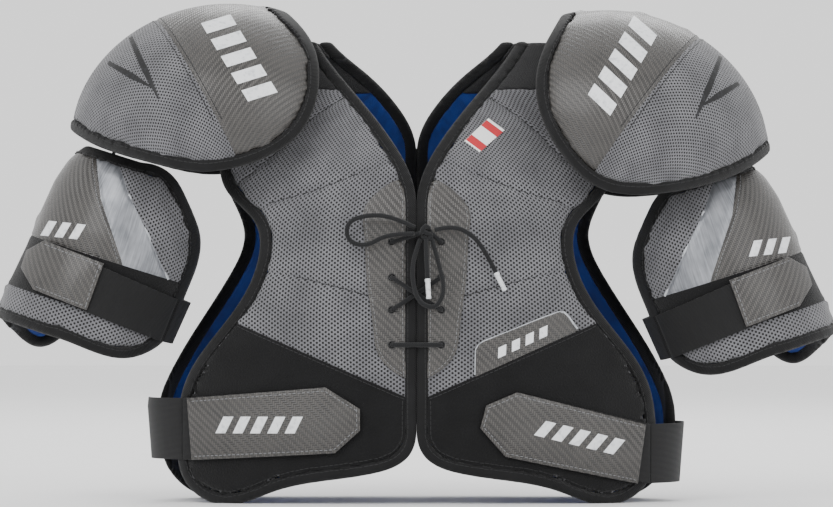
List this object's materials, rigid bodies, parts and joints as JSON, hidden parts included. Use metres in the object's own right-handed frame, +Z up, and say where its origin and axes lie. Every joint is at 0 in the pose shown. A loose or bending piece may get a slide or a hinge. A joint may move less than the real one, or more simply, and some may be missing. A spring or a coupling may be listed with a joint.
{
  "type": "hockey shoulder pads",
  "caption": "Padded hockey shoulder protector: laced chest and back panels, floating shoulder caps, hanging biceps guards and hook-and-loop straps.",
  "frame": {"origin": "middle of the base on which the front and back hems stand, below the centre of the whole object's box (its free lace left out)", "axes": "+Z up as worn, -Y the wearer's front, +X the wearer's left, along the widest extent"},
  "size_m": [0.7128, 0.227, 0.4219],
  "materials": {
    "cover_mesh": "perforated air mesh",
    "moulded_plate": "matt moulded",
    "liner": "brushed nylon",
    "binding_tape": "grosgrain tape",
    "carbon_vinyl": "twill-embossed vinyl",
    "loop_fabric": "brushed loop",
    "yoke_knit": "ribbed knit",
    "elastic_web": "ribbed elastic",
    "lace": "braided",
    "aglet": "clear tube"
  },
  "bodies": {
    "torso": {"chest_pad_left": "cover_mesh", "chest_plate_left": "moulded_plate", "chest_liner_left": "liner", "chest_binding_left": "binding_tape", "back_pad_left": "cover_mesh", "back_plate_left": "moulded_plate", "back_liner_left": "liner", "back_binding_left": "binding_tape", "shoulder_yoke_left": "yoke_knit", "loop_panel_left": "loop_fabric", "lace_facing_left": "carbon_vinyl", "chest_strap_anchor_left": "elastic_web", "chest_pad_right": "cover_mesh", "chest_plate_right": "moulded_plate", "chest_liner_right": "liner", "chest_binding_right": "binding_tape", "back_pad_right": "cover_mesh", "back_plate_right": "moulded_plate", "back_liner_right": "liner", "back_binding_right": "binding_tape", "shoulder_yoke_right": "yoke_knit", "loop_panel_right": "loop_fabric", "lace_facing_right": "carbon_vinyl", "chest_strap_anchor_right": "elastic_web", "spine_gusset": "elastic_web", "lacing": "lace", "bow_loop_right": "lace", "bow_loop_left": "lace", "lace_end_left": "lace", "lace_end_right": "lace", "aglets": "aglet"},
    "cap_left": {"cap_pad_left": "cover_mesh", "cap_plate_left": "moulded_plate", "cap_binding_left": "binding_tape", "cap_strap_left": "elastic_web"},
    "hanger_left": {"arm_hanger_left": "elastic_web"},
    "arm_left": {"arm_pad_left": "cover_mesh", "arm_plate_left": "moulded_plate", "arm_liner_left": "liner", "arm_binding_left": "binding_tape", "arm_strap_anchor_left": "elastic_web"},
    "chest_strap_left": {"chest_strap_elastic_left": "elastic_web", "chest_strap_tab_left": "carbon_vinyl"},
    "arm_strap_left": {"arm_strap_elastic_left": "elastic_web", "arm_strap_tab_left": "carbon_vinyl"},
    "cap_right": {"cap_pad_right": "cover_mesh", "cap_plate_right": "moulded_plate", "cap_binding_right": "binding_tape", "cap_strap_right": "elastic_web"},
    "hanger_right": {"arm_hanger_right": "elastic_web"},
    "arm_right": {"arm_pad_right": "cover_mesh", "arm_plate_right": "moulded_plate", "arm_liner_right": "liner", "arm_binding_right": "binding_tape", "arm_strap_anchor_right": "elastic_web"},
    "chest_strap_right": {"chest_strap_elastic_right": "elastic_web", "chest_strap_tab_right": "carbon_vinyl"},
    "arm_strap_right": {"arm_strap_elastic_right": "elastic_web", "arm_strap_tab_right": "carbon_vinyl"}
  },
  "joints": [
    {"name": "cap_lift_left", "type": "hinge", "parent": "torso", "child": "cap_left", "pos_m": [0.092, 0, 0.395], "axis": [0, -1, 0], "range_deg": [0, 40]},
    {"name": "hanger_swing_left", "type": "hinge", "parent": "cap_left", "child": "hanger_left", "pos_m": [0.23752, 0, 0.34339], "axis": [0, -1, 0], "range_deg": [-2, 5]},
    {"name": "arm_swing_left", "type": "hinge", "parent": "hanger_left", "child": "arm_left", "pos_m": [0.26163, 0, 0.26694], "axis": [0.9537, 0, 0.3007], "range_deg": [-10, 10]},
    {"name": "chest_strap_peel_left", "type": "hinge", "parent": "torso", "child": "chest_strap_left", "pos_m": [0.1967, -0.05051, 0.041], "axis": [0, -0.0898, 0.996], "range_deg": [0, 115]},
    {"name": "arm_strap_peel_left", "type": "hinge", "parent": "arm_left", "child": "arm_strap_left", "pos_m": [0.20747, -0.03548, 0.13873], "axis": [0.3742, 0.0603, -0.9254], "range_deg": [0, 85]},
    {"name": "cap_lift_right", "type": "hinge", "parent": "torso", "child": "cap_right", "pos_m": [-0.084, 0, 0.395], "axis": [0, 1, 0], "range_deg": [0, 40]},
    {"name": "hanger_swing_right", "type": "hinge", "parent": "cap_right", "child": "hanger_right", "pos_m": [-0.23752, 0, 0.35739], "axis": [0, 1, 0], "range_deg": [-4, 5]},
    {"name": "arm_swing_right", "type": "hinge", "parent": "hanger_right", "child": "arm_right", "pos_m": [-0.26163, 0, 0.28095], "axis": [-0.9537, 0, 0.3007], "range_deg": [-10, 10]},
    {"name": "chest_strap_peel_right", "type": "hinge", "parent": "torso", "child": "chest_strap_right", "pos_m": [-0.1967, -0.05185, 0.062], "axis": [0, 0.0683, -0.9977], "range_deg": [0, 115]},
    {"name": "arm_strap_peel_right", "type": "hinge", "parent": "arm_right", "child": "arm_strap_right", "pos_m": [-0.20747, -0.03548, 0.15273], "axis": [0.3742, -0.0603, 0.9254], "range_deg": [0, 85]}
  ]
}
